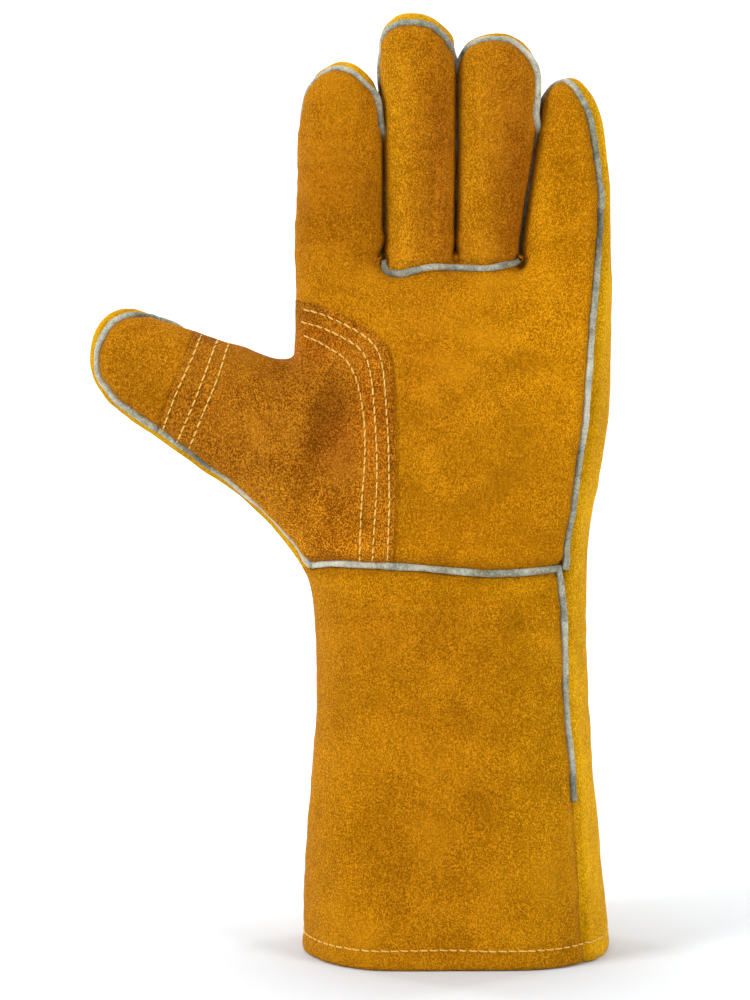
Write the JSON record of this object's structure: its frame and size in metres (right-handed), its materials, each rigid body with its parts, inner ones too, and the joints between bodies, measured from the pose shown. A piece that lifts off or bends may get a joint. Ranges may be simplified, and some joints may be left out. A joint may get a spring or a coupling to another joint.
{
  "type": "welding glove",
  "caption": "Long-cuffed left-hand welding glove of split leather, standing on its cuff with the fingers up and the palm facing front.",
  "frame": {"origin": "centre of the cuff's mouth, on the plane the hem stands on", "axes": "+Z along the glove from the hem to the fingertips, palm facing -Y, thumb towards -X"},
  "size_m": [0.2272, 0.0826, 0.4006],
  "materials": {
    "palm_side_leather": "suede split cowhide, golden brown",
    "back_leather": "suede split cowhide, golden yellow",
    "cuff_leather": "suede split cowhide, golden brown",
    "patch_leather": "suede split cowhide, slightly darker",
    "welt_leather": "pale grey split leather",
    "fleece_lining": "brushed cotton fleece",
    "thread": "heavy pale sewing thread"
  },
  "bodies": {
    "cuff": {"cuff_back_panel": "back_leather", "cuff_front_panel": "cuff_leather", "cuff_hem_facing": "cuff_leather", "cuff_hem_stitching": "thread", "cuff_lining": "fleece_lining", "cuff_rear_seam_tape": "cuff_leather", "cuff_side_welt": "welt_leather"},
    "index_lower": {"index_back_leather_lower": "back_leather", "index_front_leather_lower": "palm_side_leather", "index_lining_lower": "fleece_lining", "index_welt_lower": "welt_leather"},
    "index_upper": {"index_back_leather_upper": "back_leather", "index_front_leather_upper": "palm_side_leather", "index_lining_upper": "fleece_lining", "index_welt_upper": "welt_leather"},
    "middle_lower": {"middle_back_leather_lower": "back_leather", "middle_front_leather_lower": "palm_side_leather", "middle_lining_lower": "fleece_lining", "middle_welt_lower": "welt_leather"},
    "middle_upper": {"middle_back_leather_upper": "back_leather", "middle_front_leather_upper": "palm_side_leather", "middle_lining_upper": "fleece_lining", "middle_welt_upper": "welt_leather"},
    "ring_lower": {"ring_back_leather_lower": "back_leather", "ring_front_leather_lower": "palm_side_leather", "ring_lining_lower": "fleece_lining", "ring_welt_lower": "welt_leather"},
    "ring_upper": {"ring_back_leather_upper": "back_leather", "ring_front_leather_upper": "palm_side_leather", "ring_lining_upper": "fleece_lining", "ring_welt_upper": "welt_leather"},
    "little_lower": {"little_back_leather_lower": "back_leather", "little_front_leather_lower": "palm_side_leather", "little_lining_lower": "fleece_lining", "little_welt_lower": "welt_leather"},
    "little_upper": {"little_back_leather_upper": "back_leather", "little_front_leather_upper": "palm_side_leather", "little_lining_upper": "fleece_lining", "little_welt_upper": "welt_leather"},
    "thumb_lower": {"thumb_back_leather_lower": "back_leather", "thumb_front_leather_lower": "palm_side_leather", "thumb_lining_lower": "fleece_lining", "thumb_welt_lower": "welt_leather", "thumb_patch": "patch_leather", "thumb_patch_stitching": "thread"},
    "thumb_upper": {"thumb_back_leather_upper": "back_leather", "thumb_front_leather_upper": "palm_side_leather", "thumb_lining_upper": "fleece_lining", "thumb_welt_upper": "welt_leather"},
    "hand": {"finger_base_welt": "welt_leather", "hand_back_leather": "back_leather", "hand_lining": "fleece_lining", "hand_side_welt": "welt_leather", "palm_leather": "palm_side_leather", "palm_patch": "patch_leather", "palm_patch_stitching": "thread", "thumb_side_welt": "welt_leather", "wrist_welt": "welt_leather"}
  },
  "joints": [
    {"name": "wrist_flex", "type": "hinge", "parent": "cuff", "child": "hand", "pos_m": [-0.0022, 0, 0.167], "axis": [1, 0, 0], "range_deg": [-20, 30]},
    {"name": "index_knuckle", "type": "hinge", "parent": "hand", "child": "index_lower", "pos_m": [-0.0498, 0, 0.303], "axis": [1, 0, 0], "range_deg": [0, 55]},
    {"name": "index_middle_joint", "type": "hinge", "parent": "index_lower", "child": "index_upper", "pos_m": [-0.0498, -0.00099, 0.34099], "axis": [1, 0, 0], "range_deg": [0, 50]},
    {"name": "middle_knuckle", "type": "hinge", "parent": "hand", "child": "middle_lower", "pos_m": [-0.0161, 0, 0.303], "axis": [1, 0, 0], "range_deg": [0, 55]},
    {"name": "middle_middle_joint", "type": "hinge", "parent": "middle_lower", "child": "middle_upper", "pos_m": [-0.0161, -0.0012, 0.34898], "axis": [1, 0, 0], "range_deg": [0, 50]},
    {"name": "ring_knuckle", "type": "hinge", "parent": "hand", "child": "ring_lower", "pos_m": [0.0147, 0, 0.303], "axis": [0.999, 0, -0.0436], "range_deg": [0, 55]},
    {"name": "ring_middle_joint", "type": "hinge", "parent": "ring_lower", "child": "ring_upper", "pos_m": [0.01653, -0.0011, 0.34495], "axis": [0.999, 0, -0.0436], "range_deg": [0, 50]},
    {"name": "little_knuckle", "type": "hinge", "parent": "hand", "child": "little_lower", "pos_m": [0.0474, 0, 0.303], "axis": [0.9994, 0, -0.0349], "range_deg": [0, 55]},
    {"name": "little_middle_joint", "type": "hinge", "parent": "little_lower", "child": "little_upper", "pos_m": [0.04855, -0.00058, 0.33597], "axis": [0.9994, 0, -0.0349], "range_deg": [0, 50]},
    {"name": "thumb_base", "type": "hinge", "parent": "hand", "child": "thumb_lower", "pos_m": [-0.091, 0, 0.229], "axis": [0.5, 0, 0.866], "range_deg": [0, 35]},
    {"name": "thumb_tip_joint", "type": "hinge", "parent": "thumb_lower", "child": "thumb_upper", "pos_m": [-0.11785, 0, 0.2445], "axis": [0.5, 0, 0.866], "range_deg": [0, 45]}
  ]
}
